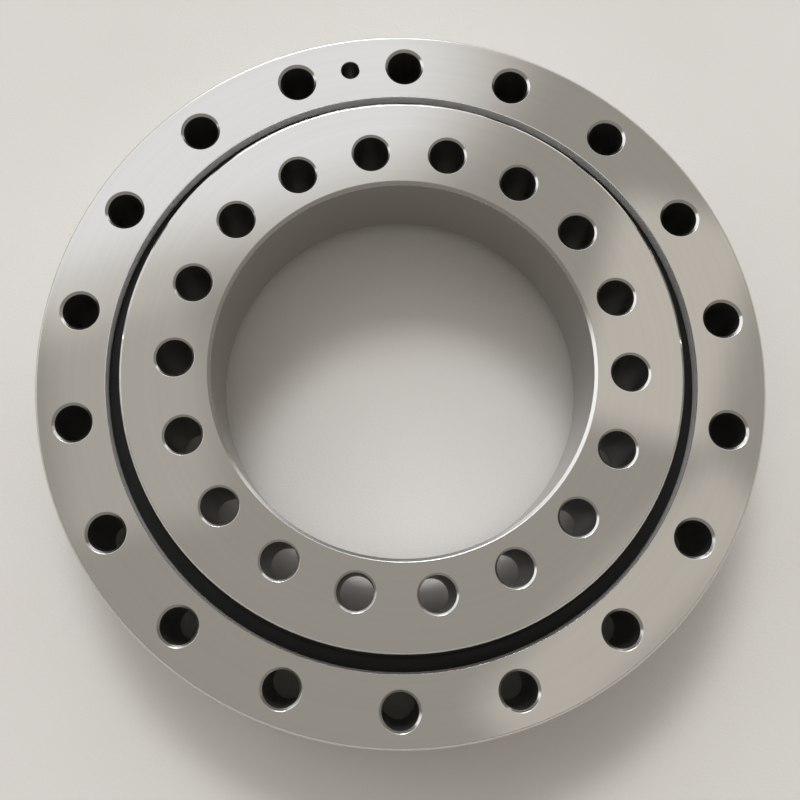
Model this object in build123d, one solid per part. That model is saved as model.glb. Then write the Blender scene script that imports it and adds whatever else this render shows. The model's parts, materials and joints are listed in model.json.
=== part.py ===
"""Slewing ring bearing: a single row of balls in four-point contact between two thick bolted rings.

Z is the axis of rotation.  The outer ring stands on z = 0 and the inner ring is raised by STEP, so
each ring has one free mounting face.  Everything at the joint line between the rings repeats by a
half turn about the ball centre: what the top seal is to the inner ring, the bottom seal is to the
outer ring.
"""
import os
from math import cos, radians, sin, sqrt

from build123d import *

os.makedirs("parts", exist_ok=True)

# ---- driving dimensions (mm) -------------------------------------------------------------------
OUTER_D = 330.0          # over the outer ring
BORE_D = 170.0           # through the inner ring
RING_H = 50.0            # height of either ring
STEP = 10.0              # the inner ring stands this far above the outer one
PITCH_D = 250.0          # circle through the ball centres
BALL_D = 20.0
BALL_COUNT = 34
LAND_GAP = 2.0           # radial gap between the two plain lands beside the balls
EDGE = 1.0               # chamfer on the outside edges
BORE_EDGE = 1.5          # chamfer at both ends of the bore
BREAK = 0.3              # small edge break on the seal recess
SOFT = 0.4               # radius that polishing leaves on the corners of the chamfers
FINE = 0.1               # and on the small corners of the joint line
LIP_SOFT = (1.5, 1.0)    # radii of the two bends in the back of the seal lip

HOLES = 18               # bolt holes in each ring
HOLE_D = 16.0            # clearance for M14 bolts
OUTER_PCD = 298.0
INNER_PCD = 202.0
OUTER_HOLE_EDGE = 1.2    # countersink of the outer ring's holes
INNER_HOLE_EDGE = 1.0    # countersink of the inner ring's holes
INNER_TURN = 8.75        # how far the inner ring is turned from the outer ring's holes, degrees

RACE_R = 10.65           # radius of each raceway arc, a little over the ball's
CONTACT_PLAY = 0.25      # play between ball and raceway at the 45 degree contact points

SEAL_DEPTH = 7.0         # depth of the recess that the lip sits in
RECESS_W = 7.5           # width of that recess, from the land outwards
ROOT_W = 5.0             # height of the slot that holds the seal's root
ROOT_DEPTH = 4.0         # depth of that slot behind the collar
LIP_GAP = 0.35           # running gap between lip and recess

SPACER_D = 15.0          # ball spacers: short rollers with a cup at each end
SPACER_L = 8.0
SPACER_BORE = 6.0
CUP_PLAY = 0.2           # play between a ball and the cup beside it

PLUG_AZ = 100.0          # ball-filling plug, half way between two bolt holes
PLUG_D = 22.0
PLUG_SINK = 0.4          # how far its end lies below the rim
PULL_D = 8.0             # extraction thread in the plug's end
PULL_DEPTH = 8.0
PIN_D = 8.0              # taper pin through the plug: small end, 1:50
PIN_L = 26.0
PIN_TOP = 34.0           # top of the pin, sunk 16 mm below the outer ring's face
PIN_HOLE_EDGE = 0.3

PORT_AZ = (0.0, 180.0)   # two grease ports in the rim
PORT_D = 10.0            # M10 x 1 thread, modelled at its outside diameter
PORT_DEPTH = 15.0
PORT_DUCT_D = 5.0        # drilling from the port to the raceway
PORT_EDGE = 0.8
SCREW_L = 8.0            # socket set screw that closes the port
SCREW_SINK = 1.5
SOCKET_AF = 5.0
SOCKET_DEPTH = 4.5

# ---- derived sizes -----------------------------------------------------------------------------
TOTAL_H = RING_H + STEP
PITCH_R = PITCH_D / 2
BALL_R = BALL_D / 2
BALL_Z = TOTAL_H / 2
OUTER_R = OUTER_D / 2
BORE_R = BORE_D / 2
LAND_OUT = PITCH_R + LAND_GAP / 2          # plain inside face of the outer ring
RECESS_R = LAND_OUT + RECESS_W
RECESS_Z = RING_H - SEAL_DEPTH
SLOT_TOP = RING_H - 3.0                    # the root slot's upper face in the inner ring
SLOT_BASE = SLOT_TOP - ROOT_W
PIN_R = OUTER_PCD / 2                      # the pin stands on the bolt circle


def swap(points):
    """The half turn about the ball centre that exchanges the two rings' joint faces."""
    return [(PITCH_D - r, TOTAL_H - z, *soft) for r, z, *soft in points]


def ring(points):
    """A closed section turned once round the axis: (radius, height), or (radius, height, corner)."""
    with BuildPart() as part:
        with BuildSketch(Plane.XZ) as section:
            with BuildLine():
                Polyline(*[point[:2] for point in points], close=True)
            make_face()
            for r, z, *soft in points:
                if soft:
                    fillet(section.vertices().sort_by_distance((r, z))[0], soft[0])
        revolve(axis=Axis.Z)
    return part.part


def tunnel():
    """The space swept by the balls: four arcs that meet in a pointed arch in either ring."""
    offset = (RACE_R - BALL_R - CONTACT_PLAY) / sqrt(2)
    section = None
    for dr in (-offset, offset):
        for dz in (-offset, offset):
            disc = Pos(PITCH_R + dr, BALL_Z + dz) * Circle(RACE_R)
            section = disc if section is None else section & disc
    return revolve(Plane.XZ * section, axis=Axis.Z)


def bolt_hole(z_low, z_high, edge):
    """A through hole on the Z axis with the same softened countersink at both faces.

    Beyond each face the cutter goes on at a shallow slope, so that the corner runs out smoothly.
    """
    r = HOLE_D / 2
    out = 2.0
    rise = out / 8
    return ring([
        (0, z_low - rise), (r + edge + out, z_low - rise),
        (r + edge, z_low, SOFT), (r, z_low + edge, SOFT),
        (r, z_high - edge, SOFT), (r + edge, z_high, SOFT),
        (r + edge + out, z_high + rise), (0, z_high + rise),
    ])


def bolt_holes(pcd, turn, z_low, z_high, edge):
    """All the holes of one bolt circle; turn is measured from +Y."""
    hole = bolt_hole(z_low, z_high, edge)
    step = 360 / HOLES
    return [Rot(0, 0, 90 + turn + k * step) * Pos(pcd / 2, 0, 0) * hole for k in range(HOLES)]


def radial(solid, azimuth, z):
    """Lays a solid that stands along +Z at the origin out along the radius at azimuth."""
    return Rot(0, 0, azimuth) * Pos(0, 0, z) * Rot(0, 90, 0) * solid


def rod(r_from, r_to, diameter, end_edge=0.0):
    """A round bar along +Z from r_from to r_to, chamfered at its far end."""
    bar = Pos(0, 0, (r_from + r_to) / 2) * Cylinder(diameter / 2, r_to - r_from)
    if end_edge:
        bar = chamfer(bar.faces().sort_by(Axis.Z)[-1].edges(), end_edge)
    return bar


def flare(r_face, diameter, edge):
    """The countersink of a radial hole that opens in the rim at r_face."""
    low = Pos(0, 0, r_face - edge)
    return low * Cone(diameter / 2, diameter / 2 + 2 * edge, 2 * edge,
                      align=(Align.CENTER, Align.CENTER, Align.MIN))


def taper(z_low, z_high):
    """The 1:50 taper of the pin, between two heights, on the pin's own axis."""
    radius = [(PIN_D + (z - (PIN_TOP - PIN_L)) / 50) / 2 for z in (z_low, z_high)]
    cone = Cone(*radius, z_high - z_low, align=(Align.CENTER, Align.CENTER, Align.MIN))
    return Rot(0, 0, PLUG_AZ) * Pos(PIN_R, 0, z_low) * cone


# ---- the joint line between the rings, drawn once and used by both ---------------------------
outer_joint = [
    (PITCH_R + EDGE, 0, SOFT), (PITCH_R, EDGE, SOFT),
    (PITCH_R, TOTAL_H - SLOT_TOP, FINE),
    (PITCH_R + ROOT_DEPTH, TOTAL_H - SLOT_TOP), (PITCH_R + ROOT_DEPTH, TOTAL_H - SLOT_BASE),
    (LAND_OUT, TOTAL_H - SLOT_BASE),
    (LAND_OUT, RECESS_Z - BREAK), (LAND_OUT + BREAK, RECESS_Z),
    (RECESS_R, RECESS_Z, FINE), (RECESS_R, RING_H - BREAK, FINE), (RECESS_R + BREAK, RING_H, FINE),
]

ball_space = tunnel()

# ---- filling plug, its pin, and the holes they need ------------------------------------------
plug_reach = radial(rod(PITCH_R - 5, OUTER_R + 5, PLUG_D), PLUG_AZ, BALL_Z)
pin_hole_top = (PIN_D + PIN_L / 50) / 2
pin_hole = (
    taper(PIN_TOP - PIN_L, PIN_TOP)
    + Rot(0, 0, PLUG_AZ) * Pos(PIN_R, 0, (PIN_TOP + RING_H + 1) / 2)
    * Cylinder(pin_hole_top, RING_H + 1 - PIN_TOP)
)
pin_flare = Rot(0, 0, PLUG_AZ) * Pos(PIN_R, 0, RING_H - PIN_HOLE_EDGE) * Cone(
    pin_hole_top, pin_hole_top + 2 * PIN_HOLE_EDGE, 2 * PIN_HOLE_EDGE,
    align=(Align.CENTER, Align.CENTER, Align.MIN))

plug_blank = radial(rod(PITCH_R - 5, OUTER_R - PLUG_SINK, PLUG_D, 0.5), PLUG_AZ, BALL_Z)
bar_room = ring([(LAND_OUT, 0), (OUTER_R + 5, 0), (OUTER_R + 5, RING_H), (LAND_OUT, RING_H)])
pull_hole = radial(rod(OUTER_R - PLUG_SINK - PULL_DEPTH, OUTER_R + 2, PULL_D), PLUG_AZ, BALL_Z)
filling_plug = (plug_blank & bar_room) - ball_space - pin_hole - pull_hole

plug_pin = chamfer(taper(PIN_TOP - PIN_L, PIN_TOP).edges(), 0.4)

# ---- grease ports -----------------------------------------------------------------------------
port_cuts = []
screws = []
for az in PORT_AZ:
    port_cuts += [
        radial(rod(OUTER_R - PORT_DEPTH, OUTER_R + 2, PORT_D), az, BALL_Z),
        radial(rod(PITCH_R + BALL_R - 2, OUTER_R - PORT_DEPTH + 1, PORT_DUCT_D), az, BALL_Z),
        radial(flare(OUTER_R, PORT_D, PORT_EDGE), az, BALL_Z),
    ]
    end = OUTER_R - SCREW_SINK
    body = Pos(0, 0, end - SCREW_L / 2) * Cylinder(PORT_D / 2, SCREW_L)
    body = chamfer(body.edges().filter_by(GeomType.CIRCLE), 0.7)
    socket = Pos(0, 0, end - SOCKET_DEPTH) * extrude(
        RegularPolygon(SOCKET_AF / sqrt(3), 6), SOCKET_DEPTH + 1)
    screws.append(radial(body - socket, az, BALL_Z))

# ---- rings -------------------------------------------------------------------------------------
outer_ring = ring(outer_joint + [
    (OUTER_R - EDGE, RING_H, SOFT), (OUTER_R, RING_H - EDGE, SOFT),
    (OUTER_R, EDGE, SOFT), (OUTER_R - EDGE, 0, SOFT),
])
outer_ring = outer_ring - ball_space
outer_ring = outer_ring - bolt_holes(OUTER_PCD, 0, 0, RING_H, OUTER_HOLE_EDGE)
outer_ring = outer_ring - [plug_reach, pin_hole, pin_flare] - port_cuts

inner_ring = ring(swap(outer_joint) + [
    (BORE_R + BORE_EDGE, STEP, SOFT), (BORE_R, STEP + BORE_EDGE, SOFT),
    (BORE_R, TOTAL_H - BORE_EDGE, SOFT), (BORE_R + BORE_EDGE, TOTAL_H, SOFT),
])
inner_ring = inner_ring - ball_space
inner_ring = inner_ring - bolt_holes(INNER_PCD, INNER_TURN, STEP, TOTAL_H, INNER_HOLE_EDGE)

# ---- seals: a root pressed in its slot, and a lip that leans into the recess opposite --------
root_back = PITCH_R - ROOT_DEPTH
lip_tip = RECESS_R - LIP_GAP
lip_low = RECESS_Z + LIP_GAP
upper_section = [
    (root_back, SLOT_BASE), (LAND_OUT - LAND_GAP + 0.6, SLOT_BASE),
    (PITCH_R + 0.6, lip_low + 0.5), (lip_tip - 0.6, lip_low, FINE), (lip_tip, lip_low + 0.3, FINE),
    (lip_tip, lip_low + 0.9, SOFT), (PITCH_R + 2.4, SLOT_TOP - 1.3, LIP_SOFT[0]),
    (PITCH_R + 1.2, SLOT_TOP - 0.2, LIP_SOFT[1]), (PITCH_R, SLOT_TOP), (root_back, SLOT_TOP),
]
upper_seal = ring(upper_section)
lower_seal = ring(swap(upper_section))

# ---- balls and the spacers between them --------------------------------------------------------
ball_step = 360 / BALL_COUNT
half_chord = PITCH_R * sin(radians(ball_step / 2))
spacer_r = PITCH_R * cos(radians(ball_step / 2))
cup = BALL_R + CUP_PLAY
spacer = Cylinder(SPACER_D / 2, SPACER_L) - Cylinder(SPACER_BORE / 2, SPACER_L + 2)
spacer = spacer - [Pos(0, 0, s * half_chord) * Sphere(cup) for s in (-1, 1)]
spacer = Rot(90, 0, 0) * spacer

spacers = [
    Rot(0, 0, (k + 0.5) * ball_step) * Pos(spacer_r, 0, BALL_Z) * spacer
    for k in range(BALL_COUNT)
]
balls = [
    Rot(0, 0, k * ball_step) * Pos(PITCH_R, 0, BALL_Z) * Sphere(BALL_R)
    for k in range(BALL_COUNT)
]

# ---- write one file per piece -------------------------------------------------------------------
pieces = {
    "outer_ring": outer_ring,
    "inner_ring": inner_ring,
    "upper_seal": upper_seal,
    "lower_seal": lower_seal,
    "filling_plug": filling_plug,
    "plug_pin": plug_pin,
    "ball_spacers": Compound(children=[s.solid() for s in spacers]),
}
for k, screw in enumerate(screws, start=1):
    pieces[f"grease_port_screw_{k}"] = screw
for k, ball in enumerate(balls, start=1):
    pieces[f"ball_{k:02d}"] = ball

for name, shape in pieces.items():
    export_step(shape, f"parts/{name}.step")
    print(name, round(shape.volume / 1000, 2), "cm3")
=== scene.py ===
"""Slewing ring bearing on a pale floor: finishes, floor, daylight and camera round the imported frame.

Units are metres.  Z is the bearing's axis and z = 0 is the face it stands on.
"""
import json
from math import cos, pi, radians, sin

import bmesh
import bpy
import numpy as np
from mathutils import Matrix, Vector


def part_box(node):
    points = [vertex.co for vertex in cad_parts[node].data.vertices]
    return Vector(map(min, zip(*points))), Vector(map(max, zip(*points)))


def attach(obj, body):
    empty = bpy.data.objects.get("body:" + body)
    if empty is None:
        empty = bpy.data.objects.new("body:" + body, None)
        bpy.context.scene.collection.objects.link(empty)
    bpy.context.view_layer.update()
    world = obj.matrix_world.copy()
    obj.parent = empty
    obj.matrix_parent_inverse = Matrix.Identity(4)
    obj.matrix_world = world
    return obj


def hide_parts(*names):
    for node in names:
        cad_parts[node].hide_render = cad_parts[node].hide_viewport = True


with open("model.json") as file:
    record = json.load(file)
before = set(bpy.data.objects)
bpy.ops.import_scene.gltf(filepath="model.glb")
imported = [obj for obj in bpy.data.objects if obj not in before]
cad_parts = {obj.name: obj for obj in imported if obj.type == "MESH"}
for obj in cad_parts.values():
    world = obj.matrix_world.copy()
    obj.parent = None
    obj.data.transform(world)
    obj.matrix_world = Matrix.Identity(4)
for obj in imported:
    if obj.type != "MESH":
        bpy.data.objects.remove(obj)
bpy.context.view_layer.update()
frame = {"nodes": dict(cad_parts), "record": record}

MM = 0.001

# ---- sizes read from the frame ------------------------------------------------------------------
mounts = {m["name"]: m for m in frame["record"]["mounts"]}
OUTER_CIRCLE = mounts["outer_bolt_circle"]["dims"]["pcd_mm"] / 2 * MM
INNER_CIRCLE = mounts["inner_bolt_circle"]["dims"]["pcd_mm"] / 2 * MM
HOLE_R = mounts["outer_bolt_circle"]["dims"]["hole_r_mm"] * MM
HOLES = mounts["outer_bolt_circle"]["dims"]["count"]
BORE_R = mounts["central_bore"]["dims"]["r_mm"] * MM
INNER_TURN = radians(8.75)                 # inner ring's holes against the outer ring's
LIP_GAP = 0.35 * MM                        # from the tip of the seal lip to the recess wall
OUTER_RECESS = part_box("upper_seal")[1][0] + LIP_GAP
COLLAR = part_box("inner_ring")[1][0]        # the inner ring's outside is the pitch circle
INNER_RECESS = 2 * COLLAR - OUTER_RECESS
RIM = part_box("outer_ring")[1][0]
BALL_HEIGHT = (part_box("ball_01")[0][2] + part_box("ball_01")[1][2]) / 2

PORTS = (0.0, pi)                          # grease ports: azimuth, thread M10 x 1
PORT_MAJOR = 5.0 * MM
PORT_PITCH = 1.0 * MM
PORT_DEPTH = 15.0 * MM
PORT_MOUTH = 0.9 * MM                      # countersink above the first turn
SOCKET = 5.0 * MM                          # set screw's hexagon across flats
PLUG_TURN = radians(100)                   # filling plug: azimuth, sink, extraction thread M8
PLUG_SINK = 0.4 * MM
PIN_HOLE_R = 4.26 * MM                     # the pin's hole stands on the outer bolt circle
PIN_AXIS = (OUTER_CIRCLE * cos(PLUG_TURN), OUTER_CIRCLE * sin(PLUG_TURN), 0.0)
PULL_MAJOR = 4.0 * MM
PULL_PITCH = 1.25 * MM
PULL_DEPTH = 8.0 * MM
THREAD_TALL = 0.54                         # height of a thread, in pitches
SLEEVE_BACK = 0.02 * MM                    # the back of a thread sleeve lies this far outside the thread

MARK_PITCH = 0.35 * MM                     # between the turning and grinding marks
STEEL = (0.64, 0.625, 0.605)
# painted shade: this near-black colour goes on the walls of the bolt holes and the pin hole, where shade
# falls
HOLE_SHADE = (0.12, 0.115, 0.11)              # walls of the bolt holes
ROUGH_TURNED = (0.88, 0.87, 0.87)          # wall of the seal recess


# ---- node helpers ---------------------------------------------------------------------------------
class Nodes:
    """Adds and joins nodes in one tree, so that a formula reads from left to right."""

    def __init__(self, tree):
        self.tree = tree

    def add(self, kind, inputs=None, **settings):
        node = self.tree.nodes.new(kind)
        for name, value in settings.items():
            setattr(node, name, value)
        for name, value in (inputs or {}).items():
            self.feed(value, node.inputs[name])
        return node

    def feed(self, value, socket):
        if isinstance(value, bpy.types.NodeSocket):
            self.tree.links.new(value, socket)
        else:
            socket.default_value = value

    def math(self, operation, *values):
        node = self.add("ShaderNodeMath", operation=operation)
        for socket, value in zip(node.inputs, values):
            self.feed(value, socket)
        return node.outputs[0]

    def vector(self, operation, *values):
        node = self.add("ShaderNodeVectorMath", operation=operation)
        for socket, value in zip(node.inputs, values):
            self.feed(value, socket)
        return node.outputs["Value" if operation == "LENGTH" else "Vector"]

    def ramp(self, value, low, high, to_low=0.0, to_high=1.0):
        """value mapped smoothly from low..high to to_low..to_high, held at both ends."""
        node = self.add("ShaderNodeMapRange", interpolation_type="SMOOTHSTEP")
        for name, v in (("Value", value), ("From Min", low), ("From Max", high),
                        ("To Min", to_low), ("To Max", to_high)):
            self.feed(v, node.inputs[name])
        return node.outputs["Result"]

    def noise(self, vector, scale, detail=3.0):
        settings = {"Vector": vector, "Scale": scale, "Detail": detail, "Roughness": 0.55}
        return self.add("ShaderNodeTexNoise", settings).outputs["Fac"]

    def bump(self, height, strength, distance):
        settings = {"Height": height, "Strength": strength, "Distance": distance}
        return self.add("ShaderNodeBump", settings).outputs[0]

    def mix(self, factor, a, b):
        node = self.add("ShaderNodeMix", data_type="RGBA")
        for index, v in ((0, factor), (6, a), (7, b)):
            self.feed(v, node.inputs[index])
        return node.outputs[2]

    def split(self, vector):
        return self.add("ShaderNodeSeparateXYZ", {"Vector": vector}).outputs

    def join(self, x, y, z):
        return self.add("ShaderNodeCombineXYZ", {"X": x, "Y": y, "Z": z}).outputs[0]

    def position(self):
        return self.add("ShaderNodeTexCoord").outputs["Object"]


def group(name, inputs, outputs):
    """A new node group from {socket: "float" or "vector"}; returns its tree, inputs and outputs."""
    tree = bpy.data.node_groups.new(name, "ShaderNodeTree")
    kinds = {"float": "NodeSocketFloat", "vector": "NodeSocketVector"}
    for socket, kind in inputs.items():
        tree.interface.new_socket(socket, in_out="INPUT", socket_type=kinds[kind])
    for socket, kind in outputs.items():
        tree.interface.new_socket(socket, in_out="OUTPUT", socket_type=kinds[kind])
    return tree, tree.nodes.new("NodeGroupInput").outputs, tree.nodes.new("NodeGroupOutput").inputs


def material(name):
    """A new material; returns it with its node helper and its shader's sockets."""
    mat = bpy.data.materials.new(name)
    mat.use_nodes = True
    n = Nodes(mat.node_tree)
    shader = mat.node_tree.nodes["Principled BSDF"]
    return mat, n, shader.inputs


# ---- shared effects -------------------------------------------------------------------------------
def cutting_marks():
    """Turning and grinding marks: fine rings about Z, unequal in depth and broken along the ring."""
    tree, given, out = group("cutting marks", {"Position": "vector", "Pitch": "float"},
                             {"Height": "float", "Streak": "float"})
    n = Nodes(tree)
    x, y, z = n.split(given["Position"])
    radius = n.vector("LENGTH", n.join(x, y, 0.0))
    turn = n.math("ARCTAN2", y, x)
    along = n.join(n.math("DIVIDE", radius, given["Pitch"]), n.math("DIVIDE", z, given["Pitch"]),
                   n.math("MULTIPLY", n.math("SINE", turn), 1.5))
    fine = n.noise(along, 1.0, 2.0)
    broad = n.noise(along, 0.07, 3.0)
    n.feed(fine, out["Height"])
    n.feed(broad, out["Streak"])
    return tree


def bolt_distance():
    """Distance from the nearest bolt-hole axis of one circle of equally spaced holes."""
    tree, given, out = group("distance from bolt hole",
                             {"Position": "vector", "Circle": "float", "Turn": "float"},
                             {"Distance": "float"})
    n = Nodes(tree)
    x, y, _ = n.split(given["Position"])
    radius = n.vector("LENGTH", n.join(x, y, 0.0))
    turn = n.math("SUBTRACT", n.math("ARCTAN2", y, x), n.math("ADD", given["Turn"], pi / 2))
    offset = n.math("WRAP", turn, pi / HOLES, -pi / HOLES)
    both = n.math("ADD", n.math("MULTIPLY", radius, radius),
                  n.math("MULTIPLY", given["Circle"], given["Circle"]))
    cross = n.math("MULTIPLY", n.math("MULTIPLY", radius, given["Circle"]),
                   n.math("MULTIPLY", n.math("COSINE", offset), 2.0))
    n.feed(n.math("SQRT", n.math("MAXIMUM", n.math("SUBTRACT", both, cross), 0.0)), out["Distance"])
    return tree


MARKS = cutting_marks()
BOLT = bolt_distance()


def shade(colour, share=1.0):
    """A colour made darker, with the alpha that a colour socket takes."""
    return (*[c * share for c in colour], 1.0)


def ring_steel(name, circle, turn, recess):
    """Ring steel, lightly oiled: ground faces, turned bevels, drilled holes and a rough-turned recess;
    painted shade darkens the walls of the bolt holes and of the bore.

    circle and turn place the ring's bolt holes, and recess is the radius of its seal recess wall.
    """
    mat, n, shader = material(name)
    place = n.position()
    marks = n.add("ShaderNodeGroup", node_tree=MARKS)
    n.feed(place, marks.inputs["Position"])
    marks.inputs["Pitch"].default_value = MARK_PITCH
    bolt = n.add("ShaderNodeGroup", node_tree=BOLT)
    n.feed(place, bolt.inputs["Position"])
    bolt.inputs["Circle"].default_value = circle
    bolt.inputs["Turn"].default_value = turn
    x, y, _ = n.split(place)
    radius = n.vector("LENGTH", n.join(x, y, 0.0))
    up = n.math("ABSOLUTE", n.split(n.add("ShaderNodeNewGeometry").outputs["Normal"])["Z"])
    tilted = n.ramp(up, 0.995, 0.95)
    side = n.ramp(up, 0.3, 0.05)
    bevel = n.math("MULTIPLY", tilted, n.ramp(up, 0.05, 0.3))
    hole = n.ramp(bolt.outputs["Distance"], HOLE_R + 0.2 * MM, HOLE_R + 0.02 * MM)
    from_pin = n.vector("LENGTH", n.vector("SUBTRACT", n.join(x, y, 0.0), PIN_AXIS))
    pin_hole = n.ramp(from_pin, PIN_HOLE_R + 0.2 * MM, PIN_HOLE_R + 0.05 * MM)
    hole = n.math("MAXIMUM", hole, pin_hole)
    near = n.math("ABSOLUTE", n.math("SUBTRACT", radius, recess))
    groove = n.math("MULTIPLY", n.ramp(near, 0.6 * MM, 0.3 * MM), n.ramp(up, 0.5, 0.2))
    cloud = n.noise(place, 22.0, 3.0)
    mottle = n.math("MULTIPLY", n.math("SUBTRACT", n.noise(place, 160.0, 4.0), 0.5), 0.02)
    rough = n.math("ADD", n.ramp(cloud, 0.3, 0.7, 0.030, 0.060), mottle)
    rough = n.math("ADD", rough, n.math("MULTIPLY", n.math("ADD", bevel, side), 0.13))
    rough = n.math("ADD", rough, n.math("MULTIPLY", hole, 0.25))
    rough = n.math("MAXIMUM", rough, n.math("MULTIPLY", groove, 0.72))
    n.feed(rough, shader["Roughness"])
    colour = n.mix(n.ramp(marks.outputs["Streak"], 0.3, 0.7), shade(STEEL, 0.97), shade(STEEL))
    # painted shade: the bore wall is coloured darker than the rest of the steel
    bore = n.math("MULTIPLY", side, n.ramp(radius, BORE_R + 1.5 * MM, BORE_R + 0.5 * MM))
    colour = n.mix(bore, colour, shade(STEEL, 0.72))
    # painted shade: the walls of the bolt holes and the pin hole are coloured near black
    colour = n.mix(n.math("MULTIPLY", hole, 0.7), colour, shade(HOLE_SHADE))
    colour = n.mix(groove, colour, shade(ROUGH_TURNED))
    n.feed(colour, shader["Base Color"])
    n.feed(n.ramp(groove, 0.0, 1.0, 1.0, 0.6), shader["Metallic"])
    turned = n.math("MULTIPLY", marks.outputs["Height"], tilted)
    n.feed(n.bump(turned, 0.05, 0.01 * MM), shader["Normal"])
    return mat


def seal_rubber():
    """Black nitrile rubber with a fine grain."""
    mat, n, shader = material("seal rubber")
    place = n.position()
    blotch = n.noise(place, 60.0, 3.0)
    fine = n.noise(place, 900.0, 3.0)
    n.feed(n.mix(blotch, (0.004, 0.004, 0.005, 1), (0.010, 0.010, 0.009, 1)), shader["Base Color"])
    n.feed(n.ramp(blotch, 0.35, 0.65, 0.45, 0.6), shader["Roughness"])
    shader["Specular IOR Level"].default_value = 0.3
    n.feed(n.bump(fine, 0.25, 0.05 * MM), shader["Normal"])
    return mat


def plain_metal(name, colour, rough):
    """A small metal piece, a little uneven in tone and gloss."""
    mat, n, shader = material(name)
    cloud = n.noise(n.position(), 120.0, 4.0)
    n.feed(n.mix(cloud, shade(colour, 0.8), shade(colour)), shader["Base Color"])
    n.feed(n.ramp(cloud, 0.3, 0.7, rough * 0.8, rough * 1.25), shader["Roughness"])
    shader["Metallic"].default_value = 1.0
    return mat


def nylon():
    """Cream nylon of the ball spacers."""
    mat, n, shader = material("spacer nylon")
    cloud = n.noise(n.position(), 200.0, 4.0)
    n.feed(n.mix(cloud, (0.70, 0.67, 0.57, 1), (0.80, 0.77, 0.68, 1)), shader["Base Color"])
    n.feed(n.ramp(cloud, 0.3, 0.7, 0.38, 0.52), shader["Roughness"])
    shader["Subsurface Weight"].default_value = 0.08
    shader["Subsurface Scale"].default_value = 2.0 * MM
    return mat


outer_steel = ring_steel("outer ring steel", OUTER_CIRCLE, 0.0, OUTER_RECESS)
inner_steel = ring_steel("inner ring steel", INNER_CIRCLE, INNER_TURN, INNER_RECESS)
finish = {
    "outer_ring": outer_steel, "inner_ring": inner_steel, "filling_plug": outer_steel,
    "plug_pin": plain_metal("pin steel", (0.40, 0.40, 0.41), 0.3),
    "ball_spacers": nylon(),
}
rubber = seal_rubber()
screw_black = plain_metal("black oxide screw", (0.05, 0.05, 0.055), 0.4)
ball_steel = plain_metal("ball steel", (0.72, 0.72, 0.73), 0.08)
for name, node in frame["nodes"].items():
    usual = rubber if "seal" in name else screw_black if "screw" in name else ball_steel
    node.data.materials.clear()
    node.data.materials.append(finish.get(name, usual))


# ---- threads: grease port screws, and the tapped holes in the rim -----------------------------
def wave(turn, depth, pitch):
    """Thread height, 0 at the root and 1 at the crest: a rounded triangle wave of the helix phase."""
    phase = np.mod(depth / pitch - turn / (2 * pi), 1.0)
    return np.clip(1.25 * (1.0 - np.abs(2.0 * phase - 1.0)) - 0.1, 0.0, 1.0)


def radial_piece(name, radius, reach, azimuth, height, body, mat, closed=False):
    """A surface round a radial axis: row i lies at distance reach[i] from the bearing's axis.

    radius[i, j] is its distance from that radial axis at column j.  Rows join end to end when closed;
    otherwise the first and last rows shrink to a point.
    """
    rows, cols = radius.shape
    turn = np.linspace(0.0, 2 * pi, cols, endpoint=False)
    out = np.broadcast_to(reach[:, None], radius.shape)
    side = radius * np.cos(turn)
    rise = radius * np.sin(turn) + height
    x = out * cos(azimuth) - side * sin(azimuth)
    y = out * sin(azimuth) + side * cos(azimuth)
    points = np.stack([x, y, rise], axis=-1).reshape(-1, 3)
    number = np.arange(rows * cols).reshape(rows, cols)
    first = number if closed else number[:-1]
    after = np.roll(number, -1, axis=0) if closed else number[1:]
    quads = np.stack([first, np.roll(first, -1, axis=1), np.roll(after, -1, axis=1), after], axis=-1)
    mesh = bpy.data.meshes.new(name)
    mesh.from_pydata(points.tolist(), [], quads.reshape(-1, 4).tolist())
    work = bmesh.new()
    work.from_mesh(mesh)
    bmesh.ops.remove_doubles(work, verts=work.verts, dist=1e-7)
    bmesh.ops.recalc_face_normals(work, faces=work.faces)
    work.to_mesh(mesh)
    work.free()
    mesh.shade_smooth()
    mesh.set_sharp_from_angle(angle=radians(35))
    mesh.materials.append(mat)
    piece = bpy.data.objects.new(name, mesh)
    bpy.context.scene.collection.objects.link(piece)
    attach(piece, body)
    return piece


COLUMNS = 72
TURNS = np.linspace(0.0, 2 * pi, COLUMNS, endpoint=False)


def threaded_rows(start, length, pitch, major, tall, per_pitch=10):
    """Radius and distance of the rows of a thread that runs inwards from start; it fades at its ends."""
    depth = np.linspace(0.0, length, int(length / pitch * per_pitch))
    fade = np.clip(np.minimum(depth, length - depth) / (0.8 * pitch), 0.0, 1.0)[:, None]
    crest = wave(TURNS[None, :], (start - depth)[:, None], pitch)
    return major - tall * (1.0 - crest * fade), start - depth


def tapped_hole(name, mouth, length, pitch, major, azimuth, height, mat):
    """The thread of a tapped hole as a thin closed sleeve: its back is plain, its inside a helix."""
    tall = THREAD_TALL * pitch
    inside, reach = threaded_rows(mouth, length, pitch, major, tall)
    outside = major + SLEEVE_BACK
    inside = outside - (inside - major + tall) * 0.98
    back = np.full((2, COLUMNS), outside)
    radius = np.concatenate([inside, back])
    reach = np.concatenate([reach, reach[-1:], reach[:1]])
    return radial_piece(name, radius, reach, azimuth, height, "outer_ring_body", mat, True)


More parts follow.
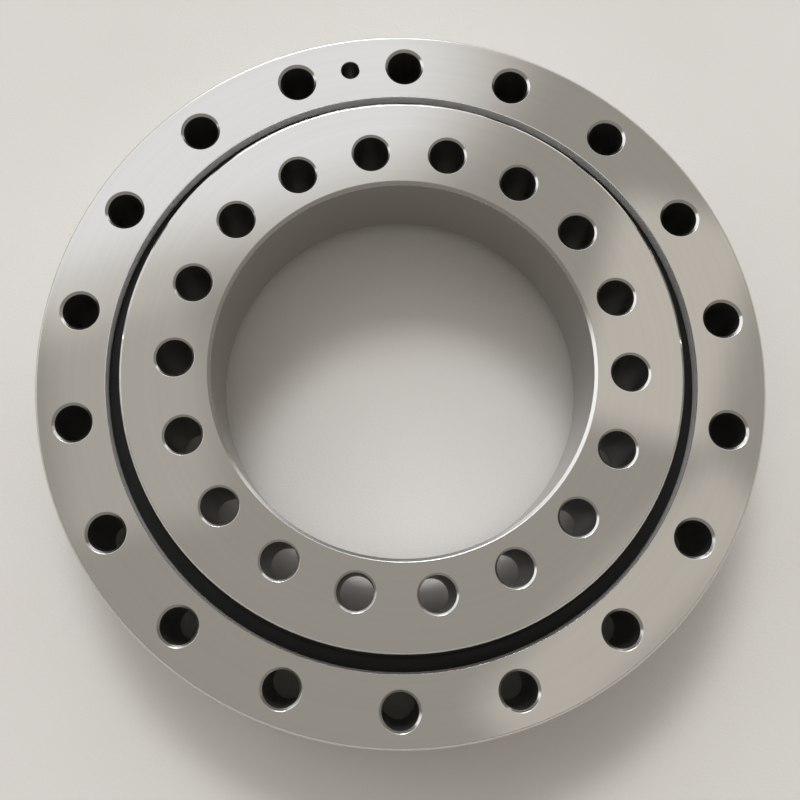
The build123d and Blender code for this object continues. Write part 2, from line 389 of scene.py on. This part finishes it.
def set_screw(name, end, length, pitch, major, across, azimuth, height, mat):
    """A socket set screw: hexagonal socket, bevelled ends and a rolled thread."""
    tall = THREAD_TALL * pitch
    root = major - tall - 0.1 * MM
    hexagon = across / 2 / np.cos(np.mod(TURNS, pi / 3) - pi / 6)
    plain = np.ones(COLUMNS)
    bevel = 0.9 * tall
    thread, reach = threaded_rows(end - bevel, length - 2 * bevel, pitch, major, tall)
    depth = 0.55 * length
    head = [(0 * plain, depth + 0.6 * MM), (0.55 * hexagon, depth + 0.25 * MM), (hexagon, depth),
            (hexagon, 0.35 * MM), (hexagon + 0.3 * MM, 0.0), (root * plain, 0.0)]
    tail = [(root * plain, length), (0 * plain, length)]
    radius = np.concatenate([[r for r, _ in head], thread, [r for r, _ in tail]])
    reach = np.concatenate([[end - d for _, d in head], reach, [end - d for _, d in tail]])
    return radial_piece(name, radius, reach, azimuth, height, "outer_ring_body", mat)


for k, azimuth in enumerate(PORTS, start=1):
    low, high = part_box(f"grease_port_screw_{k}")
    screw = set_screw(f"set_screw_{k}", max(high[0], -low[0]), high[0] - low[0], PORT_PITCH,
                      PORT_MAJOR - 0.06 * MM, SOCKET, azimuth, BALL_HEIGHT, screw_black)
    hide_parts(f"grease_port_screw_{k}")
    tapped_hole(f"port_thread_{k}", RIM - PORT_MOUTH, PORT_DEPTH - PORT_MOUTH - 0.3 * MM, PORT_PITCH,
                PORT_MAJOR, azimuth, BALL_HEIGHT, outer_steel)
tapped_hole("pull_thread", RIM - PLUG_SINK - 0.3 * MM, PULL_DEPTH - 0.6 * MM, PULL_PITCH, PULL_MAJOR,
            PLUG_TURN, BALL_HEIGHT, outer_steel)


# ---- floor ----------------------------------------------------------------------------------------
def make_floor():
    """A plain pale floor, matt and faintly grainy."""
    half = 3.0
    mesh = bpy.data.meshes.new("floor")
    mesh.from_pydata([(-half, -half, 0), (half, -half, 0), (half, half, 0), (-half, half, 0)], [],
                     [(0, 1, 2, 3)])
    floor = bpy.data.objects.new("floor", mesh)
    bpy.context.scene.collection.objects.link(floor)
    mat, n, shader = material("pale floor")
    place = n.position()
    speck = n.noise(place, 700.0, 3.0)
    cloud = n.noise(place, 8.0, 3.0)
    n.feed(n.mix(cloud, (0.74, 0.71, 0.68, 1), (0.82, 0.795, 0.77, 1)), shader["Base Color"])
    shader["Roughness"].default_value = 0.7
    shader["Specular IOR Level"].default_value = 0.25
    n.feed(n.bump(speck, 0.35, 0.3 * MM), shader["Normal"])
    mesh.materials.append(mat)


make_floor()


# ---- light ----------------------------------------------------------------------------------------
WINDOW_TURN = radians(22)                  # the window side looks this far west of +Y
ROOM_LEVEL = 0.44
ROOM_TINT = (1.0, 0.955, 0.865, 1)
WINDOW_TINT = (0.975, 0.985, 1.0, 1)
PANELS = (  # centre, turn in degrees, half sizes, soft edge, gain: three ceiling panels and a lamp
    ((0.30, 0.30), 75, (0.10, 0.05), 0.05, 0.30),
    ((-0.25, 0.20), 100, (0.10, 0.05), 0.05, 0.15),
    ((0.25, 0.00), 45, (0.15, 0.02), 0.05, 0.25),
    ((-0.15, 1.00), 0, (0.10, 0.10), 0.25, 17.0),
)


def soft_panel(n, x, y, centre, turn, size, edge):
    """1 inside a rectangle on the ceiling, fading to 0 over edge; turn is in radians."""
    dx = n.math("SUBTRACT", x, centre[0])
    dy = n.math("SUBTRACT", y, centre[1])
    mask = None
    for angle, half in zip((turn, turn + pi / 2), size):
        along = n.math("ADD", n.math("MULTIPLY", dx, cos(angle)), n.math("MULTIPLY", dy, sin(angle)))
        side = n.ramp(n.math("ABSOLUTE", along), half + edge, half)
        mask = side if mask is None else n.math("MULTIPLY", mask, side)
    return mask


def daylight():
    """A soft studio: a broad window side to the north-north-west, three pale panels and a lamp.

    The sky is read as x / z and y / z, its place on a ceiling one metre up.
    """
    world = bpy.data.worlds.new("soft room")
    world.use_nodes = True
    bpy.context.scene.world = world
    n = Nodes(world.node_tree)
    x, y, z = n.split(n.add("ShaderNodeTexCoord").outputs["Generated"])
    height = n.math("MAXIMUM", z, 0.02)
    across, ahead = n.math("DIVIDE", x, height), n.math("DIVIDE", y, height)
    north = n.math("ADD", n.math("MULTIPLY", across, -sin(WINDOW_TURN)),
                   n.math("MULTIPLY", ahead, cos(WINDOW_TURN)))
    reach = n.math("SQRT", n.math("ADD", n.math("MULTIPLY", across, across),
                                  n.math("MULTIPLY", ahead, ahead)))
    facing = n.math("DIVIDE", north, n.math("MAXIMUM", reach, 0.01))
    low = n.ramp(reach, 0.7, 2.0)
    facing = n.math("ADD", facing, n.math("MULTIPLY", low, 0.45))
    window = n.math("MULTIPLY", n.ramp(north, 0.34, 0.48), n.ramp(facing, 0.74, 0.93))
    glow = n.math("ADD", n.math("MULTIPLY", low, 0.5), 0.70)
    level = n.math("SUBTRACT", ROOM_LEVEL, n.math("MULTIPLY", low, 0.16))
    level = n.math("ADD", level, n.math("MULTIPLY", window, glow))
    for centre, turn, size, edge, gain in PANELS:
        mask = soft_panel(n, across, ahead, centre, radians(turn), size, edge)
        level = n.math("ADD", level, n.math("MULTIPLY", mask, gain))
    background = world.node_tree.nodes["Background"]
    n.feed(n.mix(window, ROOM_TINT, WINDOW_TINT), background.inputs["Color"])
    n.feed(level, background.inputs["Strength"])


daylight()
scene = bpy.context.scene
scene.view_settings.view_transform = "Standard"

# ---- camera ---------------------------------------------------------------------------------------
lens = bpy.data.cameras.new("camera")
lens.lens = 45.0
lens.sensor_width = 36.0
lens.shift_x = 0.01
lens.shift_y = 0.03
lens.clip_start = 0.01
camera = bpy.data.objects.new("camera", lens)
camera.location = (-0.0115, -0.1062, 0.4893)
camera.rotation_euler = [radians(a) for a in (10.48, -0.99, 0.46)]
scene.collection.objects.link(camera)
scene.camera = camera
